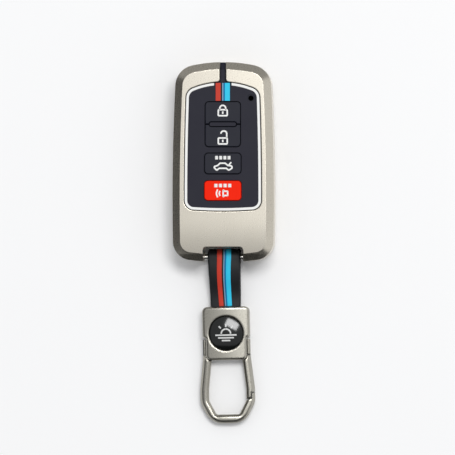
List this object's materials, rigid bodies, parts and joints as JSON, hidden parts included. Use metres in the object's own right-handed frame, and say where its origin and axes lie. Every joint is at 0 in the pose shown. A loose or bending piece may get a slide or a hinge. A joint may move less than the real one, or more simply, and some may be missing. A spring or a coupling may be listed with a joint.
{
  "type": "key fob cover",
  "caption": "Two-part metal key fob cover over a silicone sleeve with push buttons, on a silicone strap with a snap hook.",
  "frame": {"origin": "middle of the cover's back, halfway along its length, on the plane that it lies on", "axes": "+X to the right of the button face, +Y to the end away from the strap, +Z out of the button face"},
  "size_m": [0.0408, 0.1453, 0.0181],
  "materials": {
    "satin_metal": "satin champagne plating",
    "black_silicone": "matt",
    "black_button": "matt",
    "red_button": "matt",
    "white_silicone": "satin",
    "red_silicone": "satin",
    "pale_silicone": "satin",
    "blue_silicone": "satin",
    "bright_steel": "polished",
    "black_enamel": "gloss",
    "clear_resin": "gloss"
  },
  "bodies": {
    "rear_case": {"rear_shell": "satin_metal", "rear_liner": "black_silicone", "strap_bar": "bright_steel"},
    "front_case": {"front_shell": "satin_metal", "keypad": "black_silicone", "light_ring": "white_silicone", "field_stripe_red": "red_silicone", "field_stripe_pale": "pale_silicone", "field_stripe_blue": "blue_silicone"},
    "lock_key": {"lock_button": "black_button"},
    "unlock_key": {"unlock_button": "black_button"},
    "trunk_key": {"trunk_button": "black_button"},
    "panic_key": {"panic_button": "red_button"},
    "strap": {"strap": "black_silicone", "strap_stripe_red": "red_silicone", "strap_stripe_pale": "pale_silicone", "strap_stripe_blue": "blue_silicone"},
    "clasp": {"hook_frame": "satin_metal", "clasp_cover": "satin_metal", "strap_dowel": "bright_steel", "clasp_screws": "bright_steel", "badge_disc": "black_enamel", "badge_dome": "clear_resin", "gate_pin": "bright_steel", "gate_spring": "bright_steel"},
    "gate": {"gate": "satin_metal"}
  },
  "joints": [
    {"name": "front_lift", "type": "slide", "parent": "rear_case", "child": "front_case", "axis": [0, 0, 1], "range_m": [0, 0.03]},
    {"name": "lock_press", "type": "slide", "parent": "front_case", "child": "lock_key", "axis": [0, 0, -1], "range_m": [0, 0.0008], "stiffness_N_per_m": 600},
    {"name": "unlock_press", "type": "slide", "parent": "front_case", "child": "unlock_key", "axis": [0, 0, -1], "range_m": [0, 0.0008], "stiffness_N_per_m": 600},
    {"name": "trunk_press", "type": "slide", "parent": "front_case", "child": "trunk_key", "axis": [0, 0, -1], "range_m": [0, 0.0008], "stiffness_N_per_m": 600},
    {"name": "panic_press", "type": "slide", "parent": "front_case", "child": "panic_key", "axis": [0, 0, -1], "range_m": [0, 0.0008], "stiffness_N_per_m": 600},
    {"name": "strap_swing", "type": "hinge", "parent": "rear_case", "child": "strap", "pos_m": [0, -0.03805, 0.0054], "axis": [1, 0, 0], "range_deg": [-80, 80]},
    {"name": "clasp_flex", "type": "hinge", "parent": "strap", "child": "clasp", "pos_m": [0.00022, -0.04857, 0.00528], "axis": [0.9998, 0.0209, 0], "range_deg": [-60, 60], "stiffness_Nm_per_rad": 0.004, "deforming": ["strap", "strap_stripe_red", "strap_stripe_pale", "strap_stripe_blue"]},
    {"name": "gate_swing", "type": "hinge", "parent": "clasp", "child": "gate", "pos_m": [0.00703, -0.07746, 0.0028], "axis": [0, 0, -1], "range_deg": [0, 25], "stiffness_Nm_per_rad": 0.004, "springref_deg": -20.05, "deforming": ["gate_spring"]}
  ]
}
